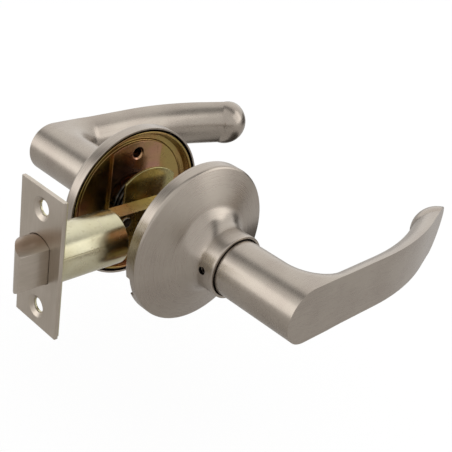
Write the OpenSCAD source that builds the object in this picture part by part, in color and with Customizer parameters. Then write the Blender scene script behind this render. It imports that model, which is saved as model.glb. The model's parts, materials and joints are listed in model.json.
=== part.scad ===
// Tubular passage lever set: two lever trims, the square spindle between them and the spring latch.
// The origin is where the spindle axis crosses the latch axis, in the middle of the door's thickness.
// +X is the way the levers point, -X the door's edge, -Y the inside of the room, +Z up.

/* [Door] */
// Thickness of the door between the two roses
door_t = 34.9; // [34.9:0.1:45]
// Backset, from the door's edge to the spindle axis
backset = 60.3; // [60.3:0.1:70]

/* [Rose] */
// Outside diameter of the rose
rose_d = 67; // [64:0.5:80]
// Depth of the rose's straight rim
rim_h = 5.6; // [5.6:0.1:7]
// Slope of the rose's dome against the door
dome_angle = 18; // [14:1:20]
// Outside diameter of the rose's hub
hub_d = 26.6; // [26.6:0.1:29]
// How far the hub reaches from the door
hub_len = 25.1; // [25:0.1:30]
// Radius of the flare between dome and hub
flare_r = 9; // [6:0.5:10]
// Thickness of the rose's sheet
sheet = 0.8; // [0.6:0.1:0.9]
// Diameter of the release hole in the hub
pin_hole_d = 3.3; // [2.5:0.1:3.6]

/* [Lever] */
// Diameter of the round that neck and grip are cut from
neck_d = 23.4; // [23.4:0.1:24.4]
// How far the grip's outer face stands from the door
projection = 62.3; // [60:0.1:75]
// Length of the lever from the spindle axis to its tip
lever_len = 112.5; // [105:0.5:130]
// Thickness of the grip at its middle
grip_t = 9.4; // [8.5:0.1:11]
// Radius of the inner blend from neck to grip
blend_r = 10.2; // [8:0.2:20]
// Where the grip starts to curve towards the door
curve_start = 44; // [44:1:60]
// Radius of the grip's outer face where it curves
curve_r = 133; // [90:1:140]
// Angle the grip turns through
curve_angle = 19.4; // [15:0.1:21]
// How far the rounded tip stands proud of the grip's inner side
tip_proud = 1.6; // [0.4:0.1:2]

/* [Hub mechanism] */
// Outside diameter of the sleeve that carries the lever
sleeve_d = 18; // [17:0.1:18.4]
// Wall of the sleeve
sleeve_wall = 1.2; // [1:0.1:1.4]
// Distance between the two mounting screws
screw_spacing = 43.4; // [43:0.1:45]
// Diameter of a mounting screw's thread
screw_d = 4.2; // [4:0.1:4.4]
// Width across the flats of the square spindle
spindle_w = 7.5; // [7:0.1:7.8]
// Wire of the return spring
return_wire = 1.6; // [1.4:0.1:1.7]
// Turns of the return spring
return_turns = 3; // [2:1:3]

/* [Latch] */
// Width of the faceplate
plate_w = 25.4; // [25.4:0.1:28.6]
// Height of the faceplate
plate_h = 57.15; // [54:0.05:70]
// Thickness of the faceplate
plate_t = 1.6; // [1.4:0.1:2.5]
// Distance between the faceplate's screw holes
face_hole_spacing = 41.3; // [41:0.1:42]
// Diameter of a faceplate screw hole
face_hole_d = 5.8; // [5:0.1:6]
// Diameter of its countersink at the face
face_csk_d = 9.4; // [8:0.1:9.6]
// Outside diameter of the latch tube
tube_d = 21.5; // [21:0.1:22.2]
// Wall of the latch tube
tube_wall = 0.9; // [0.8:0.1:1]
// Radius of the door's cross bore, where the tube ends
door_bore_r = 27; // [27:0.1:27.5]
// Thickness of the latch bolt
bolt_w = 12.7; // [12:0.1:13]
// How far the bolt stands out of the faceplate
bolt_throw = 12.3; // [11:0.1:12.7]

/* [Hidden] */
$fn = 96;
eps = 0.01;

// Finishes
nickel = "#a69b91";
yellow_zinc = "#b0954c";
pale_zinc = "#b9b58c";
dark_steel = "#3c3a38";

// Fits
run = 0.05;          // radial clearance of a part that turns
slip = 0.15;         // clearance of a part that slides or is slipped in
seat = 0.3;          // gap between parts that only rest against each other
neck_gap = 0.8;      // ring gap between the lever's neck and the rose's hub

// Rose and liner, as radius against distance from the door
rose_r = rose_d / 2;
edge_r = 1.4;                                       // rounding between rim and dome
arc_steps = 10;
hub_r = max(hub_d, neck_d + 2 * (neck_gap + sheet)) / 2;
lip_r = rose_r - sheet - 1.0;                       // liner's outer lip
floor_d = rim_h - sheet - 0.4;                      // door side of the liner's outer floor
step_r = lip_r - 4.7;                               // where the liner's floor steps up
plate_d = 2.4;                                      // door side of the mounting plate
plate_sheet = 1.2;
inner_floor_d = plate_d + plate_sheet;              // the liner's inner floor backs the plate

// Hub mechanism, as distances from the door, negative inside the door's bore
neck_r = neck_d / 2;
sleeve_r = sleeve_d / 2;
sleeve_in_r = sleeve_r - sleeve_wall;
bearing_len = 4.4;                                  // collar that the sleeve turns in
ring_d = inner_floor_d + bearing_len + seat;
ring_t = 1.0;
drive_d = -7.0;
drive_t = 1.2;
sleeve_start = drive_d + drive_t;
sleeve_end = projection - 22;                       // blind end of the bore in the lever
neck_start = ring_d + ring_t + 0.5;
plate_r = step_r - slip;
plate_half_w = 12.8;
drive_r = screw_spacing / 2 - screw_d / 2 - 0.6;    // turns clear of the mounting screws
coil_r = sleeve_r + 3.0;
coil_low = sleeve_start + 0.3 + return_wire / 2;
coil_high = plate_d - 0.1 - return_wire / 2;
tab_w = 1.6;                                        // tabs between the spring's two legs
tab_t = 1.6;
plate_tab_r = coil_r + 2.0;
drive_tab_r = plate_tab_r + tab_t + 0.4;
leg_x = tab_w / 2 + slip + return_wire / 2;
leg_r = drive_tab_r + tab_t + 0.6;
boss_r = screw_d / 2 + 1.2;

// Release catch in the neck, behind the hole in the rose's hub
catch_d = hub_len - 5.4;
catch_w = 4.0;
catch_travel = 2.2;
catch_proud = neck_r - 0.6;                         // how far out the catch stands at rest

// Grip
face_y = -(door_t / 2 + projection);
bar_y = face_y + grip_t - neck_r;                   // axis of the round that the grip is cut from
bend_r = blend_r + neck_r;                          // path radius of the elbow
curve_y = face_y + curve_r;
bar_off = neck_r - grip_t;                          // bar axis outside the outer face
curve_end_x = curve_start + curve_r * sin(curve_angle);
tip_run = (lever_len - curve_end_x) / cos(curve_angle) - sqrt(neck_r * neck_r - bar_off * bar_off);

joint_overlap = 0.5;
joint_inset = 0.02;

// Latch
plate_x = -backset;
back_t = 0.8;
tube_start = plate_x + plate_t + back_t;
tube_r = tube_d / 2;
tube_in_r = tube_r - tube_wall;
guide_r = tube_in_r - run * 2;                      // round tail that guides the bolt in the tube
head_r = guide_r - 0.2;
open_r = head_r + slip;
guide_start = tube_start + 0.3;
bolt_travel = bolt_throw - 0.3;
guide_end = guide_start + 11.2;
core_r = 5.6;                                       // core of the bolt's tail inside its spring
plug_x = guide_end + bolt_travel + seat;
plug_t = 1.2;
case_start = plug_x + plug_t;
case_end = 15;
case_sheet = 0.8;
case_y = 3.7;                                       // half width of the case
case_neck_h = sqrt(tube_in_r * tube_in_r - case_y * case_y) - run;   // lower where it is in the tube
tube_end = -door_bore_r;
cam_half = 1.4;                                     // cam's half thickness
cam_boss_r = max(5.8, (spindle_w / 2 + run) * sqrt(2) + 0.4);
arm_y = cam_half + 0.2;
arm_t = 0.8;
arm_low = cam_boss_r + 0.8;                         // clear of the cam's hub
arm_high = arm_low + 2.1;
case_half_h = arm_high + 1.7;
arm_root = -18.6;
arm_half_h = 4.2;                                   // half height of the arms in the tube
lobe_r = arm_low + 2;
lobe_angle = 104;
lug_t = 1.8;
rivet_d = 3;
rivet_head = 0.5;
rivets = [[-23.6, 7], [-23.6, -7], [case_end - 2.6, 0]];
wire_x = 0.9;

function arc(cx, cy, r, a0, a1, n = arc_steps) =
    [for (i = [0 : n]) let (a = a0 + (a1 - a0) * i / n) [cx + r * cos(a), cy + r * sin(a)]];

// Places a shape built along +Z on the inside of the door: its Z becomes the way out of the door
module on_front(d = 0) {
    translate([0, -(door_t / 2 + d), 0]) rotate([90, 0, 0]) children();
}

// The outside trim is the same assembly turned half round about the latch axis
module on_rear() {
    rotate([180, 0, 0]) children();
}

module ring(r, bore, h) {
    difference() {
        cylinder(r = r, h = h);
        translate([0, 0, -1]) cylinder(r = bore, h = h + 2);
    }
}

// Outline of the rose's skin, inset by t: rim, rounded edge, dome, flare and hub
function rose_line(t) =
    let (fr = flare_r + t, er = edge_r - t,
        ec = [rose_r - edge_r, rim_h - edge_r],
        fc_r = hub_r + flare_r,
        top = [ec[0] + edge_r * sin(dome_angle), ec[1] + edge_r * cos(dome_angle)],
        fc_d = top[1] + (flare_r - (fc_r - top[0]) * sin(dome_angle)) / cos(dome_angle))
    concat(arc(ec[0], ec[1], er, 0, 90 - dome_angle, 5),
        arc(fc_r, fc_d, fr, 270 - dome_angle, 180));

module rose() {
    difference() {
        rotate_extrude()
            polygon(concat([[rose_r, 0]], rose_line(0), [[hub_r, hub_len], [hub_r - sheet, hub_len]],
                [for (i = [len(rose_line(sheet)) - 1 : -1 : 0]) rose_line(sheet)[i]],
                [[rose_r - sheet, 0]]));
        // Release hole
        translate([0, 0, catch_d]) rotate([0, -90, 0]) cylinder(d = pin_hole_d, h = hub_r + 5);
        // Prying notch in the rim
        rotate(200) translate([rose_r - 4, -4.5, -1]) cube([8, 9, 3]);
    }
}

module liner() {
    difference() {
        liner_cup();
        for (s = [-1, 1]) translate([0, s * screw_spacing / 2, 0]) cylinder(r = boss_r + seat, h = rim_h);
    }
}

module liner_cup() {
    rotate_extrude()
        polygon([[lip_r - 0.9, 0.3], [lip_r, 0.3], [lip_r, 1.1], [lip_r - 0.2, 1.1],
            [lip_r - 1.3, floor_d + sheet], [step_r, floor_d + sheet],
            [step_r - 0.8, inner_floor_d + sheet], [sleeve_r + 2.4, inner_floor_d + sheet],
            [sleeve_r + 2.4, inner_floor_d], [step_r, inner_floor_d], [step_r + 0.4, floor_d],
            [lip_r - 2.1, floor_d], [lip_r - 1.0, 1.1]]);
}

// Sheet plate with the sleeve's bearing collar and the spring's stop. The outside plate has two
// tapped bosses, the inside plate clearance holes for the screw heads to pull on.
module mounting_plate(tapped) {
    boss_h = plate_sheet + 2.4;
    hole_d = tapped ? screw_d : screw_d + 0.6;
    difference() {
        union() {
            translate([0, 0, plate_d]) intersection() {
                cylinder(r = plate_r, h = plate_sheet);
                translate([-plate_half_w, -plate_r, 0]) cube([2 * plate_half_w, 2 * plate_r, plate_sheet]);
            }
            translate([0, 0, plate_d]) cylinder(r = sleeve_r + 1.4, h = plate_sheet + bearing_len);
            translate([-tab_w / 2, plate_tab_r, sleeve_start + 0.4])
                cube([tab_w, tab_t, plate_d - sleeve_start]);
            if (tapped) for (s = [-1, 1]) translate([0, s * screw_spacing / 2, plate_d])
                cylinder(r = boss_r, h = boss_h);
        }
        translate([0, 0, plate_d - 1]) cylinder(r = sleeve_r + run, h = boss_h + bearing_len + 2);
        for (s = [-1, 1]) translate([0, s * screw_spacing / 2, plate_d]) {
            translate([0, 0, -1]) cylinder(d = hole_d, h = boss_h + 2);
            if (tapped) translate([0, 0, -eps]) cylinder(d1 = hole_d + 1.4, d2 = hole_d, h = 0.7);
        }
    }
}

module sleeve() {
    difference() {
        translate([0, 0, sleeve_start]) ring(sleeve_r, sleeve_in_r, sleeve_end - sleeve_start - seat);
        // Slot that the catch moves in
        translate([-sleeve_r - 5, -catch_w / 2 - slip, catch_d - catch_w / 2 - slip])
            cube([10, catch_w + 2 * slip, catch_w + 2 * slip]);
    }
}

// Open spring ring behind the bearing collar
module retaining_ring() {
    translate([0, 0, ring_d]) difference() {
        ring(sleeve_r + 1.8, sleeve_r + run, ring_t);
        translate([0, -1.5, -1]) cube([20, 3, ring_t + 2]);
    }
}

// Cropped disc on the sleeve's inner end, with the spindle's square hole and the spring's driver
module drive_plate() {
    translate([0, 0, drive_d]) difference() {
        union() {
            intersection() {
                cylinder(r = drive_r, h = drive_t);
                translate([-plate_half_w, -drive_r, 0]) cube([2 * plate_half_w, 2 * drive_r, drive_t]);
            }
            translate([-tab_w / 2, drive_tab_r, 0]) cube([tab_w, tab_t, plate_d - drive_d - 0.4]);
        }
        translate([-spindle_w / 2 - run, -spindle_w / 2 - run, -1])
            cube([spindle_w + 2 * run, spindle_w + 2 * run, drive_t + 2]);
    }
}

// Round wire swept along points p, with m sides
module wire(p, r, m = 8) {
    n = len(p);
    dir = [for (i = [0 : n - 1]) let (a = p[max(i - 1, 0)], b = p[min(i + 1, n - 1)]) (b - a) / norm(b - a)];
    side = [for (i = [0 : n - 1]) let (c = cross(dir[i], [0, 0, 1]), l = norm(c))
        l > 0.05 ? c / l : [1, 0, 0]];
    pts = [for (i = [0 : n - 1]) let (u = side[i], v = cross(dir[i], u))
        for (k = [0 : m - 1]) p[i] + r * (cos(360 * k / m) * u + sin(360 * k / m) * v)];
    faces = concat([[for (k = [0 : m - 1]) k]], [[for (k = [m - 1 : -1 : 0]) (n - 1) * m + k]],
        [for (i = [0 : n - 2]) for (k = [0 : m - 1])
            [i * m + k, (i + 1) * m + k, (i + 1) * m + (k + 1) % m, i * m + (k + 1) % m]]);
    polyhedron(pts, faces);
}

// Torsion spring whose two legs stand either side of both tabs
module return_spring() {
    steps = 24 * return_turns;
    a0 = 90 + asin(leg_x / coil_r);
    sweep = 360 * return_turns - 2 * asin(leg_x / coil_r);
    wire(concat([[-leg_x, leg_r, coil_low]],
        [for (i = [0 : steps]) let (a = a0 + sweep * i / steps)
            [coil_r * cos(a), coil_r * sin(a), coil_low + (coil_high - coil_low) * i / steps]],
        [[leg_x, leg_r, coil_high]]), return_wire / 2);
}

module catch() {
    translate([0, 0, catch_d]) rotate([0, -90, 0]) {
        translate([0, 0, sleeve_r - 0.4]) cylinder(d = catch_w - 0.6, h = catch_proud - sleeve_r + 0.4);
        translate([-catch_w / 2, -catch_w / 2, sleeve_in_r - 1.4]) cube([catch_w, catch_w, sleeve_wall + 1]);
    }
}

// Open bow of leaf spring between the catch and the sleeve's far wall
module catch_spring() {
    low = -(sleeve_in_r - 1.4 - slip);
    high = sleeve_in_r - slip;
    bow = (high - low) / 2;
    translate([(low + high) / 2, catch_w / 2 - 0.4, catch_d]) rotate([90, 0, 0])
        linear_extrude(catch_w - 0.8) difference() {
            circle(r = bow);
            circle(r = bow - 0.4);
            translate([bow - 2, -0.5]) square([4, 1]);
        }
}

// The grip's section: the round whose axis lies at (axis, 0), cut flat by the outer face at (face, 0)
module grip_section(axis, face, inset = 0) {
    intersection() {
        translate([axis, 0]) circle(r = neck_r - inset);
        translate([face + inset, -neck_r]) square([2 * neck_r, neck_d]);
    }
}

// Corner between neck and grip: the neck's outer half, the elbow's inner half, full height between
module lever_elbow() {
    centre_y = bar_y + bend_r;
    depth = centre_y - face_y;
    translate([0, centre_y, 0]) rotate([90, 0, 0]) linear_extrude(depth) intersection() {
        circle(r = neck_r);
        translate([-neck_d, -neck_r]) square([neck_d, neck_d]);
    }
    translate([0, face_y, -neck_r]) difference() {
        cube([bend_r, depth, neck_d]);
        translate([bend_r, depth, -1]) cylinder(r = bend_r, h = neck_d + 2);
    }
    intersection() {
        translate([bend_r, centre_y, 0]) rotate([0, 0, 180]) rotate_extrude(angle = 90) intersection() {
            translate([bend_r, 0]) circle(r = neck_r);
            translate([0, -neck_r]) square([bend_r, neck_d]);
        }
        translate([0, face_y, -neck_r]) cube([bend_r, depth, neck_d]);
    }
}

module lever_grip() {
    translate([bend_r, 0, 0]) rotate([90, 0, 90]) linear_extrude(curve_start - bend_r)
        grip_section(bar_y, face_y);
    translate([curve_start, curve_y, 0]) rotate([0, 0, -90]) rotate_extrude(angle = curve_angle)
        mirror([1, 0]) grip_section(-curve_r - bar_off, -curve_r);
    // The straight end is a hair smaller than the curve that it is buried in
    translate([curve_end_x, curve_y - curve_r * cos(curve_angle), 0]) rotate([0, 0, curve_angle]) {
        translate([-joint_overlap, 0, 0]) rotate([90, 0, 90]) linear_extrude(tip_run + joint_overlap)
            grip_section(-bar_off, 0, joint_inset);
        intersection() {
            translate([tip_run, tip_proud - bar_off, 0]) sphere(r = neck_r - joint_inset);
            translate([tip_run - neck_r, joint_inset, -neck_r]) cube([neck_d, neck_d, neck_d]);
        }
    }
}

module lever() {
    difference() {
        union() {
            translate([0, bar_y + bend_r, 0]) rotate([-90, 0, 0])
                cylinder(r = neck_r, h = -(door_t / 2 + neck_start) - bar_y - bend_r);
            lever_elbow();
            lever_grip();
        }
        on_front(neck_start - 1) cylinder(r = sleeve_r + run, h = sleeve_end - neck_start + 1);
        on_front(catch_d) rotate([0, -90, 0]) translate([0, 0, sleeve_r - 2])
            cylinder(d = catch_w - 0.6 + 2 * slip, h = neck_r);
    }
}

module spindle() {
    reach = door_t / 2 + 11.5;
    color(yellow_zinc) translate([-spindle_w / 2, -reach, -spindle_w / 2])
        cube([spindle_w, 2 * reach, spindle_w]);
}

// Circle clipped to the bolt's thickness, as a block along +X
module bolt_bar(r, half, len) {
    rotate([90, 0, 90]) linear_extrude(len) intersection() {
        circle(r = r);
        translate([-half, -r]) square([2 * half, 2 * r]);
    }
}

module face_holes(t) {
    for (s = [-1, 1]) translate([plate_x, 0, s * face_hole_spacing / 2]) rotate([0, 90, 0])
        translate([0, 0, -1]) cylinder(d = face_hole_d, h = t + 2);
}

module faceplate() {
    color(nickel) difference() {
        translate([plate_x, -plate_w / 2, -plate_h / 2]) cube([plate_t, plate_w, plate_h]);
        face_holes(plate_t);
        for (s = [-1, 1]) translate([plate_x - eps, 0, s * face_hole_spacing / 2]) rotate([0, 90, 0])
            cylinder(d1 = face_csk_d, d2 = face_hole_d, h = plate_t * 0.75);
        translate([plate_x - 1, 0, 0]) bolt_bar(open_r, bolt_w / 2 + slip, plate_t + 2);
    }
}

module back_plate() {
    inset = 0.6;
    color(yellow_zinc) difference() {
        translate([plate_x + plate_t, -plate_w / 2 + inset, -plate_h / 2 + inset])
            cube([back_t, plate_w - 2 * inset, plate_h - 2 * inset]);
        translate([plate_t, 0, 0]) face_holes(back_t);
        translate([plate_x, 0, 0]) rotate([0, 90, 0]) cylinder(r = tube_in_r, h = 10);
    }
}

module latch_tube() {
    color(pale_zinc) translate([tube_start, 0, 0]) rotate([0, 90, 0])
        ring(tube_r, tube_in_r, tube_end - tube_start);
}

// Washer pressed in the tube, which the latch spring pushes against
module tube_plug() {
    color(dark_steel) translate([plug_x, 0, 0]) rotate([0, 90, 0]) difference() {
        cylinder(r = tube_in_r, h = plug_t);
        translate([-arm_half_h - 0.2, -arm_y - arm_t - slip, -1])
            cube([2 * (arm_half_h + 0.2), 2 * (arm_y + arm_t + slip), plug_t + 2]);
    }
}

// Arc of radius r from p to q, bulging to the left of the way from p to q
function arc_between(p, q, r, n = arc_steps) =
    let (d = q - p, l = norm(d), m = (p + q) / 2, h = sqrt(r * r - l * l / 4),
        c = m + h * [d[1], -d[0]] / l,
        a0 = atan2(p[1] - c[1], p[0] - c[0]), a1 = atan2(q[1] - c[1], q[0] - c[0]))
    arc(c[0], c[1], r, a0, a1, n);

// Square side to -Y, slanted strike side to +Y, and a round tail that guides it in the tube
module bolt() {
    tip_x = plate_x - bolt_throw;
    half = bolt_w / 2;
    nose = 2.6;
    corner = 0.8;
    bevel_run = bolt_throw - 2;
    color(nickel) {
        intersection() {
            translate([tip_x, 0, 0]) bolt_bar(head_r, half, guide_start - tip_x + 1);
            translate([0, 0, -head_r - 1]) linear_extrude(2 * head_r + 2)
                polygon(concat([[guide_start + 1, -half]],
                    arc(tip_x + corner, -half + corner, corner, 270, 180, 4),
                    arc_between([tip_x, -half + nose], [tip_x + bevel_run, half], 18),
                    [[guide_start + 1, half]]));
        }
        difference() {
            translate([guide_start, 0, 0]) rotate([0, 90, 0])
                cylinder(r = guide_r, h = guide_end - guide_start);
            // Spring pocket
            translate([guide_start + 3, 0, 0]) rotate([0, 90, 0]) ring(guide_r - 1.0, core_r, 12);
        }
    }
}

// Two sheet arms from the bolt's tail to the cam, each ending in the lug that the cam pushes
module drawbar() {
    color(yellow_zinc) {
        for (s = [-1, 1]) translate([0, s * (arm_y + arm_t / 2), 0]) {
            translate([guide_end, -arm_t / 2, -arm_half_h])
                cube([arm_root - guide_end, arm_t, 2 * arm_half_h]);
            for (k = [-1, 1]) translate([arm_root - 2.6, -arm_t / 2, k < 0 ? -arm_high : arm_half_h - 0.6])
                cube([2.6, arm_t, arm_high - arm_half_h + 0.6]);
            for (k = [-1, 1]) translate([arm_root - 2.6, -arm_t / 2, k < 0 ? -arm_high : arm_low])
                cube([2.6 - arm_root + lug_t - 1.4, arm_t, arm_high - arm_low]);
        }
        for (k = [-1, 1]) translate([-1.4, -arm_y - arm_t, k < 0 ? -arm_high : arm_low])
            cube([lug_t, 2 * (arm_y + arm_t), arm_high - arm_low]);
        translate([guide_end, -arm_y - arm_t, -arm_half_h]) cube([1.2, 2 * (arm_y + arm_t), 2 * arm_half_h]);
    }
}

module latch_spring() {
    turns = 7;
    r = (core_r + guide_r - 1.0) / 2;
    x0 = guide_start + 3 + wire_x / 2 + 0.1;
    x1 = plug_x - wire_x / 2 - 0.1;
    steps = 20 * turns;
    color(dark_steel) rotate([0, 90, 0]) wire([for (i = [0 : steps]) let (a = 360 * turns * i / steps)
        [r * cos(a), r * sin(a), x0 + (x1 - x0) * i / steps]], wire_x / 2);
}

// Hub with a square hole and two lobes; each lobe pushes one lug back
module latch_cam() {
    color(dark_steel) difference() {
        rotate([90, 0, 0]) {
            translate([0, 0, -case_y]) cylinder(r = cam_boss_r, h = 2 * case_y);
            translate([0, 0, -cam_half]) linear_extrude(2 * cam_half) {
                circle(r = cam_boss_r + 0.5);
                for (k = [-1, 1]) intersection() {
                    circle(r = lobe_r);
                    polygon([[0, 0], [20 * cos(lobe_angle), k * 20 * sin(lobe_angle)],
                        [20 * cos(lobe_angle + 26), k * 20 * sin(lobe_angle + 26)]]);
                }
            }
        }
        translate([-spindle_w / 2 - run, -10, -spindle_w / 2 - run])
            cube([spindle_w + 2 * run, 20, spindle_w + 2 * run]);
    }
}

module cam_bearing() {
    rotate([90, 0, 0]) cylinder(r = cam_boss_r + run, h = 4 * case_y, center = true);
}

module rivet_places() {
    for (p = rivets) translate([p[0], 0, p[1]]) children();
}

// Far side of the case with its top and bottom flanges
module case_channel() {
    color(yellow_zinc) difference() {
        union() {
            translate([case_start, case_y - case_sheet, -case_neck_h])
                cube([case_end - case_start, case_sheet, 2 * case_neck_h]);
            translate([tube_end + 0.3, case_y - case_sheet, -case_half_h])
                cube([case_end - tube_end - 0.3, case_sheet, 2 * case_half_h]);
            for (s = [-1, 1]) translate([tube_end + 0.3, -case_y + case_sheet + 0.02,
                    s * (case_half_h - case_sheet / 2) - case_sheet / 2])
                cube([case_end - tube_end - 0.3, 2 * case_y - case_sheet - 0.02, case_sheet]);
        }
        cam_bearing();
        rivet_places() rotate([90, 0, 0]) cylinder(d = rivet_d, h = 20, center = true);
    }
}

module case_side() {
    color(yellow_zinc) difference() {
        union() {
            translate([case_start, -case_y, -case_neck_h])
                cube([case_end - case_start, case_sheet, 2 * case_neck_h]);
            translate([tube_end + 0.3, -case_y, -case_half_h])
                cube([case_end - tube_end - 0.3, case_sheet, 2 * case_half_h]);
        }
        cam_bearing();
        rivet_places() rotate([90, 0, 0]) cylinder(d = rivet_d, h = 20, center = true);
    }
}

module case_rivets() {
    color(dark_steel) rivet_places() rotate([90, 0, 0]) {
        cylinder(d = rivet_d, h = 2 * case_y, center = true);
        for (s = [-1, 1]) translate([0, 0, s * (case_y + rivet_head / 2)])
            cylinder(d = rivet_d + 1.2, h = rivet_head, center = true);
    }
}

// Named sub-parts
module front_lever() { color(nickel) lever(); }
module front_rose() { color(nickel) on_front() rose(); }
module front_liner() { color(yellow_zinc) on_front() liner(); }
module front_mounting_plate() { color(yellow_zinc) on_front() mounting_plate(false); }
module front_sleeve() { color(yellow_zinc) on_front() sleeve(); }
module front_retaining_ring() { color(dark_steel) on_front() retaining_ring(); }
module front_return_spring() { color(dark_steel) on_front() return_spring(); }
module front_drive_plate() { color(yellow_zinc) on_front() drive_plate(); }
module front_catch() { color(pale_zinc) on_front() catch(); }
module front_catch_spring() { color(dark_steel) on_front() catch_spring(); }
module rear_lever() { on_rear() front_lever(); }
module rear_rose() { on_rear() front_rose(); }
module rear_liner() { on_rear() front_liner(); }
module rear_mounting_plate() { color(yellow_zinc) on_rear() on_front() mounting_plate(true); }
module rear_sleeve() { on_rear() front_sleeve(); }
module rear_retaining_ring() { on_rear() front_retaining_ring(); }
module rear_return_spring() { on_rear() front_return_spring(); }
module rear_drive_plate() { on_rear() front_drive_plate(); }
module rear_catch() { on_rear() front_catch(); }
module rear_catch_spring() { on_rear() front_catch_spring(); }

front_lever();
front_rose();
front_liner();
front_mounting_plate();
front_sleeve();
front_retaining_ring();
front_return_spring();
front_drive_plate();
front_catch();
front_catch_spring();
rear_lever();
rear_rose();
rear_liner();
rear_mounting_plate();
rear_sleeve();
rear_retaining_ring();
rear_return_spring();
rear_drive_plate();
rear_catch();
rear_catch_spring();
spindle();
faceplate();
back_plate();
latch_tube();
tube_plug();
bolt();
drawbar();
latch_spring();
latch_cam();
case_channel();
case_side();
case_rivets();
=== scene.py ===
# Tubular passage lever set: two satin nickel lever trims and the spring latch between them.
# Metres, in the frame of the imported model: levers point along +X, the door's edge is at -X, +Z is up.
import bpy
import bmesh
import json
from math import asin, cos, pi, radians, sin, tan
from mathutils import Matrix, Vector

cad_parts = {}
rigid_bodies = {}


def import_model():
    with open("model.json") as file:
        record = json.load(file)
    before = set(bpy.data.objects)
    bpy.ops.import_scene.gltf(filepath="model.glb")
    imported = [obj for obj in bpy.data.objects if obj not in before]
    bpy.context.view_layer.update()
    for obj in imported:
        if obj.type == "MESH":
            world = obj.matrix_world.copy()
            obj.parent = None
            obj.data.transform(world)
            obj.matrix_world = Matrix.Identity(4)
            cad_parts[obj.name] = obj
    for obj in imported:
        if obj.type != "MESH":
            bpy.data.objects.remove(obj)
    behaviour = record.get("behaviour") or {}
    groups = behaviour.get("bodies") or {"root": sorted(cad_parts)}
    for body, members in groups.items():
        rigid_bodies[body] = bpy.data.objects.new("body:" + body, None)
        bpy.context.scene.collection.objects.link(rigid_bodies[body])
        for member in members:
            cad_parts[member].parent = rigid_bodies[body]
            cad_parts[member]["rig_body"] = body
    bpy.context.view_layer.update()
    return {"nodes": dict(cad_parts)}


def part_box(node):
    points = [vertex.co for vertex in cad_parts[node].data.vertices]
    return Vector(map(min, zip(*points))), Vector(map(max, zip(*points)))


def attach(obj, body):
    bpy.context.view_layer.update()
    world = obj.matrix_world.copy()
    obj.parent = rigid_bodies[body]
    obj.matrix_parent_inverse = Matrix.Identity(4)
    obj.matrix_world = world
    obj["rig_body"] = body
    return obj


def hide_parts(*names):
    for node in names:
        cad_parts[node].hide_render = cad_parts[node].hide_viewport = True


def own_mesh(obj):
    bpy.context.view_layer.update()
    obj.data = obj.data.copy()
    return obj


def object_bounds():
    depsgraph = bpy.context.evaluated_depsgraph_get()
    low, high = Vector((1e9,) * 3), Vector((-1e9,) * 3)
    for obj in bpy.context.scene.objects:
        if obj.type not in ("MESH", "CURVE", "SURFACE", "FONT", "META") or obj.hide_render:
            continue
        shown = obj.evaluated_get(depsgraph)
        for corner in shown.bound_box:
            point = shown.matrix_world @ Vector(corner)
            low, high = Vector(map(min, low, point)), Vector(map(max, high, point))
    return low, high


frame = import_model()
nodes = frame["nodes"]
mm = 0.001
doorFace = -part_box("front_rose")[1].y / mm        # distance from the middle of the door to its face
print("frame loaded:", len(nodes), "nodes")


# A socket of a node tree, or the tree itself while socket is None. Arithmetic adds Math nodes.
class Wire:
    def __init__(self, tree, socket=None):
        self.tree, self.socket = tree, socket

    def node(self, kind, settings=None, inputs=None, output=0):
        made = self.tree.nodes.new("ShaderNode" + kind)
        for key, value in (settings or {}).items():
            if key == "stops":
                ramp = made.color_ramp
                while len(ramp.elements) < len(value):
                    ramp.elements.new(0.5)
                for element, (place, colour) in zip(ramp.elements, value):
                    element.position, element.color = place, shade(colour)
            else:
                setattr(made, key, value)
        for key, value in (inputs or {}).items():
            socket = made.inputs[key] if isinstance(key, int) else next(
                s for s in made.inputs if key in (s.identifier, s.name))
            if isinstance(value, Wire):
                self.tree.links.new(value.socket, socket)
            else:
                socket.default_value = value
        found = made.outputs[output] if isinstance(output, int) else next(
            s for s in made.outputs if output in (s.identifier, s.name))
        return Wire(self.tree, found)

    def maths(self, operation, *values):
        return self.node("Math", {"operation": operation}, dict(enumerate(values)))

    def __add__(self, other):
        return self.maths("ADD", self, other)

    def __sub__(self, other):
        return self.maths("SUBTRACT", self, other)

    def __rsub__(self, other):
        return self.maths("SUBTRACT", other, self)

    def __mul__(self, other):
        return self.maths("MULTIPLY", self, other)

    def __truediv__(self, other):
        return self.maths("DIVIDE", self, other)

    def __pow__(self, other):
        return self.maths("POWER", self, other)

    def __abs__(self):
        return self.maths("ABSOLUTE", self)

    def __lt__(self, other):
        return self.maths("LESS_THAN", self, other)

    __radd__, __rmul__ = __add__, __mul__

    def kept(self):
        return self.node("Clamp", {}, {"Value": self})

    def between(self, low, high):       # 0 below low, 1 above high, smooth in between
        return self.node("MapRange", {"interpolation_type": "SMOOTHSTEP"},
                         {"Value": self, "From Min": low, "From Max": high})


def shade(colour):                      # 0-255 screen values to a linear colour
    def one(v):
        v = v / 255
        return v / 12.92 if v <= 0.04045 else ((v + 0.055) / 1.055) ** 2.4
    return (*[one(v) for v in colour], 1)


def mixColour(factor, low, high, how="MIX"):
    low, high = [c if isinstance(c, Wire) else shade(c) for c in (low, high)]
    return factor.node("Mix", {"data_type": "RGBA", "blend_type": how},
                       {"Factor_Float": factor, "A_Color": low, "B_Color": high}, "Result_Color")


def scaled(place, scale):
    return place.node("VectorMath", {"operation": "MULTIPLY"}, {0: place, 1: scale})


def noise(place, scale, detail=3.0, rough=0.5):
    return place.node("TexNoise", {}, {"Vector": place, "Scale": scale, "Detail": detail,
                                       "Roughness": rough})


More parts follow.
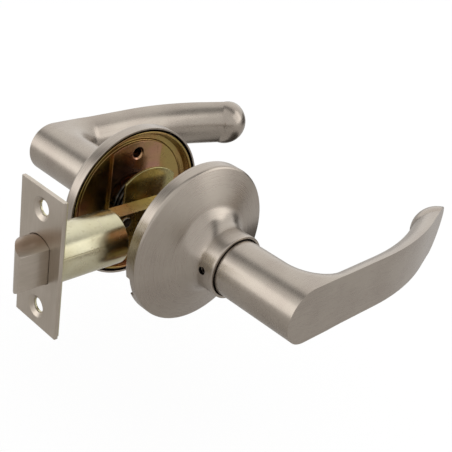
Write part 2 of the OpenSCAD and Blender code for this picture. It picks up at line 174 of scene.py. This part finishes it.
# Place of a point along the brushing: slow along the strokes, fast across them
def strokes(graph, way, across, along):
    place = graph.node("TexCoord", {}, {}, "Object")
    if way in ("x", "y", "z"):
        return scaled(place, [along if way == axis else across for axis in "xyz"])
    split = place.node("SeparateXYZ", {}, {0: place}, 0).socket.node
    x, y, z = [Wire(graph.tree, split.outputs[i]) for i in range(3)]
    if way == "roundY":                 # turned about the spindle axis
        out, first, second, far = (x * x + z * z) ** 0.5, x, z, y
    else:                               # turned about the latch axis
        out, first, second, far = (y * y + z * z) ** 0.5, y, z, x
    return graph.node("CombineXYZ", {}, {0: first / out * along * 0.02, 1: second / out * along * 0.02,
                                         2: (out + far * 0.7) * across})


def finished(material, graph, surface, kind="Material"):
    out = graph.tree.nodes.new("ShaderNodeOutput" + kind)
    graph.tree.links.new(surface.socket, out.inputs["Surface"])
    return material


def startMaterial(name):
    made = bpy.data.materials.new(name)
    made.use_nodes = True
    made.node_tree.nodes.clear()
    return made, Wire(made.node_tree)


# Satin nickel: fine strokes, softly clouded
nickel = {"colour": (170, 161, 150), "dark": (161, 151, 141), "rough": 0.28, "grain": 0.09, "bump": 0.06,
          "fine": 3600, "streak": 130}
plateNickel = dict(nickel, colour=(188, 178, 166), dark=(178, 168, 155), rough=0.32)


def satinMetal(name, way, look, top=None):
    made, graph = startMaterial(name)
    place = graph.node("TexCoord", {}, {}, "Object")
    fine = noise(strokes(graph, way, look["fine"], look["streak"]), 1, 2.0)
    broad = noise(strokes(graph, way, look["fine"] * 0.25, look["streak"] * 0.4), 1, 2.0)
    cloud = noise(place, 70, 3.0)
    grain = fine * 0.65 + broad * 0.35
    worn = (cloud * 0.5 + grain * 0.5).between(0.38, 0.62)
    colour = mixColour(worn, look["dark"], look["colour"])
    if top:                             # painted reflection: the faces that look up take a brown tint
        facing = graph.node("SeparateXYZ", {}, {0: graph.node("TexCoord", {}, {}, "Normal")}, "Z")
        upward = facing.between(0.75, 0.98)
        colour = mixColour(upward * (0.7 + 0.3 * cloud.between(0.35, 0.65)), colour, top)
    rough = look["rough"] + (grain - 0.5) * look["grain"] + (cloud - 0.5) * 0.03
    bump = graph.node("Bump", {}, {"Strength": look["bump"], "Distance": 0.00004, "Height": grain})
    surface = graph.node("BsdfPrincipled", {}, {"Base Color": colour, "Metallic": 1.0, "Roughness": rough,
                                                "Normal": bump})
    return finished(made, graph, surface)


# Chromated zinc: three tints that drift into each other, stamped marks and a thin oily haze
def chromate(name, tints, rough=0.24, size=75, haze=0.5, bump=0.2, seam=None):
    made, graph = startMaterial(name)
    place = graph.node("TexCoord", {}, {}, "Object")
    drift = noise(place, size, 2.0, 0.45)
    colour = drift.node("ValToRGB", {"stops": [(0.36, tints[0]), (0.5, tints[1]), (0.64, tints[2])]},
                        {"Fac": drift}, "Color")
    speck = noise(place, 900, 4.0)
    smear = noise(scaled(place, (240, 60, 240)), 1, 3.0)
    colour = mixColour(speck.between(0.55, 0.75) * haze, colour, tints[3])
    height = speck + smear * 2
    if seam:                            # the butted joint of the rolled tube, on its near side
        split = graph.node("SeparateXYZ", {}, {0: place}).socket.node
        y, z = [Wire(graph.tree, split.outputs[i]) for i in (1, 2)]
        line = (1 - abs(z - seam * mm).between(0.05 * mm, 0.22 * mm)) * (y < 0)
        colour, height = mixColour(line * 0.6, colour, tints[3]), height - line * 6
    surface = graph.node("BsdfPrincipled", {}, {
        "Base Color": colour, "Metallic": 1.0, "Roughness": rough + (smear - 0.5) * 0.2,
        "Normal": graph.node("Bump", {}, {"Strength": bump, "Distance": 0.00008, "Height": height})})
    return finished(made, graph, surface)


def steel(name, colour, dark, rough):
    made, graph = startMaterial(name)
    place = graph.node("TexCoord", {}, {}, "Object")
    mottle = noise(place, 420, 4.0)
    surface = graph.node("BsdfPrincipled", {}, {
        "Base Color": mixColour(mottle.between(0.4, 0.65), dark, colour), "Metallic": 1.0,
        "Roughness": rough + (mottle - 0.5) * 0.25,
        "Normal": graph.node("Bump", {}, {"Strength": 0.2, "Distance": 0.00005, "Height": mottle})})
    return finished(made, graph, surface)


nickelTurned = satinMetal("satinNickelTurned", "roundY", nickel)
nickelAlong = satinMetal("satinNickelAlong", "x", nickel)
nickelPlate = satinMetal("satinNickelPlate", "z", plateNickel)
# the bolt's upward faces carry a painted brown reflection
nickelBolt = satinMetal("satinNickelBolt", "x", plateNickel, (122, 98, 78))
linerZinc = chromate("linerChromate", [(156, 136, 82), (160, 130, 82), (170, 124, 92), (90, 72, 40)])
plateZinc = chromate("plateChromate", [(162, 140, 92), (168, 134, 98), (176, 132, 110), (96, 74, 48)])
driveZinc = chromate("driveChromate", [(168, 160, 112), (182, 171, 126), (176, 154, 112), (110, 100, 64)],
                     0.26)
caseZinc = chromate("caseChromate", [(168, 146, 96), (182, 162, 112), (166, 128, 92), (86, 68, 42)],
                    0.28)
tubeZinc = chromate("tubeZinc", [(196, 189, 158), (204, 198, 170), (188, 180, 148), (140, 129, 92)],
                    0.24, 40, 0.25, 0.08, seam=3.8)
wireSteel = steel("wireSteel", (86, 82, 78), (44, 42, 40), 0.34)
pinSteel = steel("pinSteel", (206, 204, 200), (160, 158, 154), 0.2)
catchSteel = steel("catchSteel", (48, 44, 40), (24, 22, 20), 0.45)

plainLook = {"lever": nickelAlong, "rose": nickelTurned, "liner": linerZinc, "mounting_plate": plateZinc,
             "sleeve": caseZinc, "retaining_ring": wireSteel, "return_spring": wireSteel,
             "drive_plate": driveZinc, "catch": catchSteel, "catch_spring": wireSteel, "spindle": caseZinc,
             "faceplate": nickelPlate, "back_plate": tubeZinc, "latch_tube": tubeZinc,
             "tube_plug": wireSteel, "bolt": nickelBolt, "drawbar": caseZinc,
             "latch_spring": wireSteel, "latch_cam": pinSteel,
             "case_channel": caseZinc, "case_side": caseZinc, "case_rivets": pinSteel}


def kindOf(node):
    return node.removeprefix("front_").removeprefix("rear_")


for name, node in nodes.items():
    node.data.materials.clear()
    node.data.materials.append(plainLook[kindOf(name)])


ownName = {"bolt": "latchBolt", "faceplate": "latchFaceplate", "drawbar": "latchDrawbar",
           "spindle": "squareSpindle"}


def camel(node):                        # front_mounting_plate -> insideMountingPlate
    if node in ownName:
        return ownName[node]
    words = node.replace("front_", "inside_").replace("rear_", "outside_").split("_")
    return words[0] + "".join(w.capitalize() for w in words[1:])


def stand(mesh, node, sharp=35, flat=True):   # a finished mesh takes a CAD node's place, body and material
    mesh.shade_smooth()
    mesh.set_sharp_from_angle(angle=radians(sharp))
    mesh.materials.clear()
    mesh.materials.append(plainLook[kindOf(node)])
    piece = bpy.data.objects.new(camel(node), mesh)
    bpy.context.collection.objects.link(piece)
    if flat:
        normals = piece.modifiers.new("flatFaces", "WEIGHTED_NORMAL")
        normals.keep_sharp = True
    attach(piece, nodes[node]["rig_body"])
    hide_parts(node)
    return piece


weld = 2e-6                             # closer points than this, in metres, become one


def toMesh(shape, name):
    bmesh.ops.remove_doubles(shape, verts=shape.verts, dist=weld)
    bmesh.ops.dissolve_degenerate(shape, edges=shape.edges, dist=weld)
    bmesh.ops.holes_fill(shape, edges=[e for e in shape.edges if e.is_boundary], sides=4)
    mesh = bpy.data.meshes.new(name)
    bmesh.ops.recalc_face_normals(shape, faces=shape.faces)
    shape.to_mesh(mesh)
    shape.free()
    return mesh


# A node's own shape with its hard edges broken by a small round
def softened(node, width, segments=2, angle=28):
    shape = bmesh.new()
    shape.from_mesh(nodes[node].data)
    bmesh.ops.remove_doubles(shape, verts=shape.verts, dist=1e-6)
    bmesh.ops.dissolve_limit(shape, angle_limit=radians(0.4), verts=shape.verts, edges=shape.edges,
                             delimit=set())
    hard = [e for e in shape.edges if e.is_manifold and e.calc_face_angle(0) > radians(angle)]
    bmesh.ops.bevel(shape, geom=hard, offset=width * mm, offset_type="OFFSET", segments=segments,
                    profile=0.5, affect="EDGES", clamp_overlap=True)
    return toMesh(shape, camel(node))


# Outline corners given as (across, along, round)
def rounded(points, steps=4):
    line = []
    for i, (x, y, r) in enumerate(points):
        here = Vector((x, y))
        if r <= 0:
            line.append(here)
            continue
        before, after = [Vector(points[j % len(points)][:2]) - here for j in (i - 1, i + 1)]
        half = before.angle(after) / 2
        reach = min(r / tan(half), before.length * 0.49, after.length * 0.49)
        first, last = here + before.normalized() * reach, here + after.normalized() * reach
        for k in range(steps + 1):      # a quadratic round is close enough at this size
            t = k / steps
            line.append(first * (1 - t) ** 2 + here * 2 * t * (1 - t) + last * t * t)
    return line


def arcLine(centre, radius, first, last, steps):
    angles = [radians(first + (last - first) * k / steps) for k in range(steps + 1)]
    return [Vector((centre[0] + radius * cos(a), centre[1] + radius * sin(a))) for a in angles]


# Closed outline turned about the spindle axis, in mm from the door's near face
def lathe(line, steps=160):
    shape = bmesh.new()
    rings = []
    for k in range(steps):
        a = 2 * pi * k / steps
        rings.append([shape.verts.new((p[0] * cos(a) * mm, -(doorFace + p[1]) * mm, p[0] * sin(a) * mm))
                      for p in line])
    count = len(line)
    for k in range(steps):
        for i in range(count):
            j, n = (i + 1) % count, (k + 1) % steps
            shape.faces.new((rings[k][i], rings[k][j], rings[n][j], rings[n][i]))
    return shape


def block(low, high, soft=0.0):
    shape = bmesh.new()
    bmesh.ops.create_cube(shape, size=1, matrix=Matrix.LocRotScale(
        (Vector(low) + Vector(high)) / 2 * mm, None, (Vector(high) - Vector(low)) * mm))
    if soft:
        bmesh.ops.bevel(shape, geom=shape.edges[:], offset=soft * mm, segments=3, profile=0.5,
                        affect="EDGES")
    return toMesh(shape, "cutter")


def rod(radius, low, high, steps=48):
    shape = bmesh.new()
    low, high = Vector(low) * mm, Vector(high) * mm
    turn = (high - low).to_track_quat("Z", "Y")
    middle = Matrix.LocRotScale((low + high) / 2, turn, None)
    bmesh.ops.create_cone(shape, cap_ends=True, segments=steps, radius1=radius * mm, radius2=radius * mm,
                          depth=(high - low).length, matrix=middle)
    return toMesh(shape, "cutter")


def cut(mesh, *cutters):
    body = bpy.data.objects.new("body", mesh)
    bpy.context.collection.objects.link(body)
    tools = []
    for cutter in cutters:
        tool = bpy.data.objects.new("tool", cutter)
        bpy.context.collection.objects.link(tool)
        tools.append(tool)
        step = body.modifiers.new("cut", "BOOLEAN")
        step.operation, step.object, step.solver = "DIFFERENCE", tool, "EXACT"
    seen = body.evaluated_get(bpy.context.evaluated_depsgraph_get())
    made = bpy.data.meshes.new_from_object(seen)
    for obj in [body, *tools]:
        old = obj.data
        bpy.data.objects.remove(obj)
        bpy.data.meshes.remove(old)
    shape = bmesh.new()
    shape.from_mesh(made)
    return toMesh(shape, "cut")


def outside(mesh, side):                # the outside trim is the inside one turned half round
    if side == "rear":
        mesh.transform(Matrix.Rotation(pi, 4, "X"))
    return mesh


# Roses: pressed cover with a rim, a dome and a flare into the hub
rose = {"radius": 33.5, "rim": 5.6, "edge": 1.4, "dome": 18, "hub": 13.3, "hubEnd": 25.1, "flare": 9,
        "sheet": 0.8, "lipRound": 0.25, "lipRoll": 0.32, "lipLong": 0.9, "hole": 1.65, "holeAt": 19.7,
        "notchWide": 9, "notchDeep": 2,
        "notchTurn": {"front": 200, "rear": 20}}


def roseMesh(side):
    centre = (rose["radius"] - rose["edge"], rose["rim"] - rose["edge"])
    dome = radians(rose["dome"])
    topX, topY = centre[0] + rose["edge"] * sin(dome), centre[1] + rose["edge"] * cos(dome)
    bendX = rose["hub"] + rose["flare"]
    bendY = topY + (rose["flare"] - (bendX - topX) * sin(dome)) / cos(dome)

    def skin(inset):
        return (arcLine(centre, rose["edge"] - inset, 0, 90 - rose["dome"], 8)
                + arcLine((bendX, bendY), rose["flare"] + inset, 270 - rose["dome"], 180, 26))
    hubIn, end, roll = rose["hub"] - rose["sheet"], rose["hubEnd"], rose["lipRoll"]
    lip = rounded([(rose["hub"], end - 1.5, 0), (rose["hub"], end, 0.45),
                   (hubIn - roll, end, rose["lipRound"]),
                   (hubIn - roll, end - rose["lipLong"], rose["lipRound"]),
                   (hubIn, end - rose["lipLong"] - roll, 0.1)])
    rim = rounded([(rose["radius"] - rose["sheet"], 0.5, 0), (rose["radius"] - rose["sheet"], 0, 0.2),
                   (rose["radius"], 0, 0.2), (rose["radius"], 0.5, 0)])
    shape = lathe(rim + skin(0) + lip + skin(rose["sheet"])[::-1], 192)
    mesh = toMesh(shape, "rose")
    notch = block((rose["radius"] - 4, -doorFace - rose["notchDeep"], -rose["notchWide"] / 2),
                  (rose["radius"] + 4, -doorFace + 1, rose["notchWide"] / 2), 0.35)
    notch.transform(Matrix.Rotation(radians(-rose["notchTurn"][side]), 4, "Y"))
    holeY = -doorFace - rose["holeAt"]
    return cut(mesh, notch, rod(rose["hole"], (-8, holeY, 0), (-20, holeY, 0)))


for side in ("front", "rear"):
    stand(outside(roseMesh(side), side), side + "_rose", 40, False)
print("roses made")

# Liners: drawn cups with a rolled lip and a stepped floor
liner = {"lip": 31.7, "floor": 4.4, "step": 27.0, "inner": 3.6, "sheet": 0.8, "bore": 11.4, "screws": 21.7,
         "screwHole": 3.6}


def linerMesh():
    lip, floor, step, inner, sheet = [liner[k] for k in ("lip", "floor", "step", "inner", "sheet")]
    line = rounded([(lip - 0.9, 0.3, 0.3), (lip, 0.3, 0.35), (lip, 1.1, 0.3), (lip - 0.2, 1.1, 0.1),
                    (lip - 1.3, floor + sheet, 2.4), (step, floor + sheet, 0.5),
                    (step - 0.8, inner + sheet, 0.5), (liner["bore"], inner + sheet, 0.15),
                    (liner["bore"], inner, 0.15), (step, inner, 0.5), (step + 0.4, floor, 0.4),
                    (lip - 2.1, floor, 1.7), (lip - 1.0, 1.1, 0.5)], 6)
    mesh = toMesh(lathe(line, 160), "liner")
    holes = [rod(liner["screwHole"], (0, -doorFace, z), (0, -doorFace - 8, z))
             for z in (-liner["screws"], liner["screws"])]
    return cut(mesh, *holes)


for side in ("front", "rear"):
    stand(outside(linerMesh(), side), side + "_liner", 45, False)
print("liners made")


# Springs: round wire along a smooth path
def wireMesh(name, points, radius):
    line = bpy.data.curves.new(name, "CURVE")
    line.dimensions, line.bevel_depth, line.bevel_resolution = "3D", radius * mm, 3
    line.use_fill_caps = True
    spline = line.splines.new("NURBS")
    spline.points.add(len(points) - 1)
    for point, (x, y, z) in zip(spline.points, points):
        point.co = (x * mm, y * mm, z * mm, 1)
    spline.order_u, spline.use_endpoint_u, spline.resolution_u = 4, True, 3
    obj = bpy.data.objects.new(name, line)
    bpy.context.collection.objects.link(obj)
    seen = obj.evaluated_get(bpy.context.evaluated_depsgraph_get())
    mesh = bpy.data.meshes.new_from_object(seen)
    bpy.data.objects.remove(obj)
    return mesh


returnSpring = {"radius": 12, "wire": 0.8, "low": -4.7, "high": 1.5, "turns": 3, "legX": 1.75,
                "legOut": 18.2}
latchSpring = {"radius": 7.65, "wire": 0.45, "turns": 7, "stroke": 12}


def returnPath():
    r, legX = returnSpring["radius"], returnSpring["legX"]
    lead = asin(legX / r)
    count = 24 * returnSpring["turns"]
    points = [(-legX, returnSpring["legOut"], returnSpring["low"])] * 2
    points += [(-legX, returnSpring["legOut"] - 3, returnSpring["low"])]
    for k in range(count + 1):
        a = pi / 2 + lead + (2 * pi * returnSpring["turns"] - 2 * lead) * k / count
        points.append((r * cos(a), r * sin(a),
                       returnSpring["low"] + (returnSpring["high"] - returnSpring["low"]) * k / count))
    points += [(legX, returnSpring["legOut"] - 3, returnSpring["high"])]
    points += [(legX, returnSpring["legOut"], returnSpring["high"])] * 2
    return [(x, -(doorFace + d), z) for x, z, d in points]


for side in ("front", "rear"):
    coil = wireMesh("returnSpring", returnPath(), returnSpring["wire"])
    stand(outside(coil, side), side + "_return_spring", 60, False)
low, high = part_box("latch_spring")
first, last = low.x / mm + latchSpring["wire"], high.x / mm - latchSpring["wire"]
turns = [2 * pi * k / 20 for k in range(20 * latchSpring["turns"] + 1)]
path = [(first + (last - first) * a / turns[-1], latchSpring["radius"] * sin(a),
         -latchSpring["radius"] * cos(a)) for a in turns]
piece = stand(wireMesh("latchSpring", path, latchSpring["wire"]), "latch_spring", 60, False)
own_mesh(piece)
catchSpring = {"soft": 0.05, "stroke": 2.2}
for side in ("front", "rear"):          # the catches' leaf springs, with their edges broken
    node = side + "_catch_spring"
    piece = stand(softened(node, catchSpring["soft"], 1), node)
    low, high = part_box(node)
    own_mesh(piece)
print("springs made")

# Everything else keeps its own shape, with its edges broken
bevels = {"segments": 2, "angle": 28, "sharp": 35}
leverBevels = {"segments": 1, "angle": 50, "sharp": 45}     # the grip's outer face keeps a hard edge
edgeRound = {"lever": 0.15, "faceplate": 0.3, "back_plate": 0.15, "bolt": 0.35, "mounting_plate": 0.2,
             "drive_plate": 0.25, "sleeve": 0.15, "spindle": 0.3, "drawbar": 0.12, "latch_cam": 0.15,
             "case_channel": 0.15, "case_side": 0.15, "case_rivets": 0.15, "catch": 0.15, "latch_tube": 0.25,
             "tube_plug": 0.15}
for name in sorted(nodes):
    if kindOf(name) in edgeRound:
        way = leverBevels if kindOf(name) == "lever" else bevels
        stand(softened(name, edgeRound[kindOf(name)], way["segments"], way["angle"]), name, way["sharp"])
print("edges broken")

# Camera
shot = {"azimuth": -49.38, "elevation": 27.97, "roll": 9.99, "distance": 348.97, "sideways": -25.56,
        "upward": 2.45, "lens": 67.86}
turn, rise, roll = [radians(shot[k]) for k in ("azimuth", "elevation", "roll")]
back = Vector((sin(turn) * cos(rise), -cos(turn) * cos(rise), sin(rise)))
right = Vector((cos(turn), sin(turn), 0))
up = back.cross(right)
camRight, camUp = cos(roll) * right + sin(roll) * up, cos(roll) * up - sin(roll) * right
camera = bpy.data.objects.new("camera", bpy.data.cameras.new("camera"))
bpy.context.collection.objects.link(camera)
eye = (back * shot["distance"] - camRight * shot["sideways"] - camUp * shot["upward"]) * mm
camera.matrix_world = Matrix.Translation(eye) @ Matrix((camRight, camUp, back)).transposed().to_4x4()
camera.data.lens = shot["lens"]
camera.data.clip_start = 0.01
bpy.context.scene.camera = camera

# Stage: white all round for the camera, and for the metal a studio with one darker band overhead
studio = {"front": 0.95, "behind": 0.27, "sides": (-0.45, 0.45), "gap": (0.838, 0.528, -0.142),
          "gapEdge": (0.0595, 0.255), "gapRise": (0.05, 0.4), "gapDark": 0.8, "ambient": 1.0}
world = bpy.data.worlds.new("studio")
bpy.context.scene.world = world
world.use_nodes = True
world.node_tree.nodes.clear()
graph = Wire(world.node_tree)
rays = graph.node("LightPath", {}, {}, "Is Camera Ray")
cameraRay, glossyRay, clearRay = [Wire(graph.tree, rays.socket.node.outputs[name]) for name in
                                  ("Is Camera Ray", "Is Glossy Ray", "Is Transmission Ray")]
spread = graph.node("SeparateXYZ", {}, {0: graph.node("TexCoord", {}, {}, "Generated")}).socket.node
x, y, z = [Wire(graph.tree, spread.outputs[i]) for i in range(3)]
offGap = abs(x * studio["gap"][0] + y * studio["gap"][1] + z * studio["gap"][2])
gapShade = (1 - offGap.between(*studio["gapEdge"])) * z.between(*studio["gapRise"])
tone = (y.between(*studio["sides"]) * studio["behind"] + studio["front"]) * (1 - gapShade * studio["gapDark"])
seen = (glossyRay + clearRay).kept()
strength = cameraRay + (1 - cameraRay) * (seen * tone + (1 - seen) * studio["ambient"])
finished(world, graph, graph.node("Background", {}, {"Color": (1, 1, 1, 1), "Strength": strength}), "World")
bpy.context.scene.view_settings.view_transform = "Standard"

floorLook = {"reach": 6.0, "below": 0.05, "matt": (197, 195, 193), "mattSeen": (252, 252, 252),
             "glowSeen": 0.88}
floorMesh = bpy.data.meshes.new("floor")
wide, low = floorLook["reach"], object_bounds()[0].z - floorLook["below"]
floorMesh.from_pydata([(-wide, -wide, low), (wide, -wide, low), (wide, wide, low), (-wide, wide, low)], [],
                      [(0, 1, 2, 3)])
floor = bpy.data.objects.new("floor", floorMesh)
bpy.context.collection.objects.link(floor)
paper, graph = startMaterial("paper")
cameraRay = graph.node("LightPath", {}, {}, "Is Camera Ray")
matt = graph.node("BsdfDiffuse", {}, {"Color": mixColour(cameraRay, floorLook["matt"],
                                                      floorLook["mattSeen"])})
glow = graph.node("Emission", {}, {"Color": (1, 1, 1, 1), "Strength": 1.0})
finished(paper, graph, graph.node("MixShader", {}, {0: cameraRay * floorLook["glowSeen"], 1: matt, 2: glow}))
floorMesh.materials.append(paper)

# Painted shade: a dark strip right of the set, on the floor and standing behind it, in place of the set's own
# shadow on the floor; it only shows as a reflection
strip = {"flatX": (0.12, 0.2), "flatY": (-0.06, 0.1), "standX": 0.46, "standY": (-0.14, 0.12), "top": 0.05,
         "lift": 0.001, "colour": (70, 66, 62)}
flagMesh = bpy.data.meshes.new("flag")
bottom = low + strip["lift"]
sheets = [((strip["flatX"][0], bottom), (strip["flatX"][1], bottom), strip["flatY"]),
          ((strip["standX"], bottom), (strip["standX"], strip["top"]), strip["standY"])]
corners = [(x, y, z) for (x0, z0), (x1, z1), (y0, y1) in sheets
           for x, y, z in ((x0, y0, z0), (x0, y1, z0), (x1, y1, z1), (x1, y0, z1))]
flagMesh.from_pydata(corners, [], [(3, 2, 1, 0), (4, 5, 6, 7)])
flag = bpy.data.objects.new("flag", flagMesh)
bpy.context.collection.objects.link(flag)
flag.visible_camera = flag.visible_shadow = flag.visible_diffuse = False
# painted shade, seen only in the metal
felt, graph = startMaterial("felt")
finished(felt, graph, graph.node("BsdfDiffuse", {}, {"Color": shade(strip["colour"])}))
flagMesh.materials.append(felt)


def softbox(name, place, size, strength):   # strength is how bright the panel itself looks
    lamp = bpy.data.lights.new(name, "AREA")
    lamp.shape, lamp.size, lamp.size_y = "RECTANGLE", size[0], size[1]
    lamp.energy = strength * pi * size[0] * size[1]
    made = bpy.data.objects.new(name, lamp)
    bpy.context.collection.objects.link(made)
    made.location = place
    made.rotation_mode = "QUATERNION"
    made.rotation_quaternion = Vector(place).to_track_quat("Z", "Y")
    made.visible_camera = False


panels = {"leftBehind": {"place": (-0.98, 0.78, 0.34), "size": (0.95, 0.95), "strength": 0.9},
          "rightFront": {"place": (0.85, -0.72, 0.55), "size": (0.9, 0.9), "strength": 1.3}}
for name, panel in panels.items():
    softbox(name, **panel)
print("stage set")
